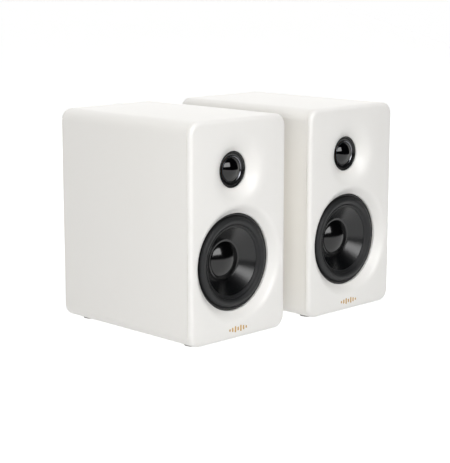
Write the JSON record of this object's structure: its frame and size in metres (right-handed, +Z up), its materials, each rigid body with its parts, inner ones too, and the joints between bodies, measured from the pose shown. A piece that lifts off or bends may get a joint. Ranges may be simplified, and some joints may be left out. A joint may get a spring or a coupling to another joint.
{
  "type": "desktop speakers",
  "caption": "Pair of compact two-way desktop speakers, active and passive: off-white rounded cabinets, woofer in a shallow dish, dome tweeter above, reflex ports and controls at the back.",
  "frame": {"origin": "on the table midway between the two speakers, at the middle of the pair's depth", "axes": "+X from the passive left speaker to the active right speaker as seen from the front, +Y from the front faces to the back, +Z up"},
  "size_m": [0.228, 0.157, 0.168],
  "materials": {
    "shell_white": "satin off-white lacquer",
    "baffle_white": "satin off-white",
    "panel_black": "fine textured black",
    "moulded_black": "moulded black",
    "foot_rubber": "matte",
    "basket_black": "powder coated",
    "gasket_black": "semi-matte",
    "surround_rubber": "semi-matte butyl",
    "cone_polypropylene": "satin",
    "cap_gloss": "gloss",
    "spider_cotton": "resin-dipped cotton",
    "coil_copper": "enamelled winding",
    "plated_steel": "zinc plated",
    "ferrite": "ground ferrite",
    "nickel": "nickel plated",
    "dome_gloss": "gloss",
    "screw_steel": "zinc plated",
    "lead_pvc": "PVC sleeve",
    "board_green": "solder mask",
    "core_steel": "varnished laminations",
    "lever_red": "moulded",
    "lever_black": "moulded",
    "knob_black": "soft-touch",
    "button_silver": "satin silver",
    "rocker_black": "semi-gloss"
  },
  "bodies": {
    "active_speaker": {"right_cabinet": "shell_white", "right_front_baffle": "baffle_white", "right_back_panel": "panel_black", "right_port_tube": "moulded_black", "right_feet": "foot_rubber", "right_woofer_basket": "basket_black", "right_woofer_gasket_ring": "gasket_black", "right_woofer_surround": "surround_rubber", "right_woofer_spider": "spider_cotton", "right_woofer_top_plate": "plated_steel", "right_woofer_magnet": "ferrite", "right_woofer_yoke": "plated_steel", "right_tweeter_faceplate": "moulded_black", "right_tweeter_pole_plate": "plated_steel", "right_tweeter_magnet": "nickel", "right_tweeter_yoke": "plated_steel", "right_screws": "screw_steel", "right_leads": "lead_pvc", "right_terminal_block": "moulded_black", "amp_board": "board_green", "transformer": "core_steel", "power_inlet": "moulded_black", "input_sockets": "moulded_black"},
    "passive_speaker": {"left_cabinet": "shell_white", "left_front_baffle": "baffle_white", "left_back_panel": "panel_black", "left_port_tube": "moulded_black", "left_feet": "foot_rubber", "left_woofer_basket": "basket_black", "left_woofer_gasket_ring": "gasket_black", "left_woofer_surround": "surround_rubber", "left_woofer_spider": "spider_cotton", "left_woofer_top_plate": "plated_steel", "left_woofer_magnet": "ferrite", "left_woofer_yoke": "plated_steel", "left_tweeter_faceplate": "moulded_black", "left_tweeter_pole_plate": "plated_steel", "left_tweeter_magnet": "nickel", "left_tweeter_yoke": "plated_steel", "left_screws": "screw_steel", "left_leads": "lead_pvc", "left_terminal_block": "moulded_black", "left_crossover_board": "board_green"},
    "left_woofer_moving": {"left_woofer_cone": "cone_polypropylene", "left_woofer_dust_cap": "cap_gloss", "left_woofer_voice_coil": "coil_copper"},
    "left_tweeter_moving": {"left_tweeter_dome": "dome_gloss", "left_tweeter_voice_coil": "coil_copper"},
    "left_clip_red": {"left_clip_lever_red": "lever_red"},
    "left_clip_black": {"left_clip_lever_black": "lever_black"},
    "right_woofer_moving": {"right_woofer_cone": "cone_polypropylene", "right_woofer_dust_cap": "cap_gloss", "right_woofer_voice_coil": "coil_copper"},
    "right_tweeter_moving": {"right_tweeter_dome": "dome_gloss", "right_tweeter_voice_coil": "coil_copper"},
    "right_clip_red": {"right_clip_lever_red": "lever_red"},
    "right_clip_black": {"right_clip_lever_black": "lever_black"},
    "volume_knob": {"volume_knob": "knob_black"},
    "power_rocker": {"power_rocker": "rocker_black"},
    "input_button": {"input_button": "button_silver"}
  },
  "joints": [
    {"name": "speaker_spacing", "type": "slide", "parent": "active_speaker", "child": "passive_speaker", "axis": [-1, 0, 0], "range_m": [-0.02, 0.2]},
    {"name": "left_woofer_stroke", "type": "slide", "parent": "passive_speaker", "child": "left_woofer_moving", "axis": [0, -1, 0], "range_m": [-0.0025, 0.0025], "stiffness_N_per_m": 1500, "deforming": ["left_woofer_surround", "left_woofer_spider"]},
    {"name": "left_tweeter_stroke", "type": "slide", "parent": "passive_speaker", "child": "left_tweeter_moving", "axis": [0, -1, 0], "range_m": [-0.0003, 0.0003], "stiffness_N_per_m": 2500},
    {"name": "left_clip_red_press", "type": "hinge", "parent": "passive_speaker", "child": "left_clip_red", "pos_m": [-0.0724, 0.0635, 0.037], "axis": [1, 0, 0], "range_deg": [0, 25], "stiffness_Nm_per_rad": 0.05},
    {"name": "left_clip_black_press", "type": "hinge", "parent": "passive_speaker", "child": "left_clip_black", "pos_m": [-0.0556, 0.0635, 0.037], "axis": [1, 0, 0], "range_deg": [0, 25], "stiffness_Nm_per_rad": 0.05},
    {"name": "right_woofer_stroke", "type": "slide", "parent": "active_speaker", "child": "right_woofer_moving", "axis": [0, -1, 0], "range_m": [-0.0025, 0.0025], "stiffness_N_per_m": 1500, "deforming": ["right_woofer_surround", "right_woofer_spider"]},
    {"name": "right_tweeter_stroke", "type": "slide", "parent": "active_speaker", "child": "right_tweeter_moving", "axis": [0, -1, 0], "range_m": [-0.0003, 0.0003], "stiffness_N_per_m": 2500},
    {"name": "right_clip_red_press", "type": "hinge", "parent": "active_speaker", "child": "right_clip_red", "pos_m": [0.0556, 0.0635, 0.063], "axis": [1, 0, 0], "range_deg": [0, 25], "stiffness_Nm_per_rad": 0.05},
    {"name": "right_clip_black_press", "type": "hinge", "parent": "active_speaker", "child": "right_clip_black", "pos_m": [0.0724, 0.0635, 0.063], "axis": [1, 0, 0], "range_deg": [0, 25], "stiffness_Nm_per_rad": 0.05},
    {"name": "volume_turn", "type": "hinge", "parent": "active_speaker", "child": "volume_knob", "pos_m": [0.039, 0.0715, 0.1], "axis": [0, -1, 0], "range_deg": [-150, 150]},
    {"name": "power_rock", "type": "hinge", "parent": "active_speaker", "child": "power_rocker", "pos_m": [0.051, 0.0665, 0.029], "axis": [1, 0, 0], "range_deg": [0, 20]},
    {"name": "input_press", "type": "slide", "parent": "active_speaker", "child": "input_button", "axis": [0, -1, 0], "range_m": [0, 0.0012], "stiffness_N_per_m": 800}
  ]
}
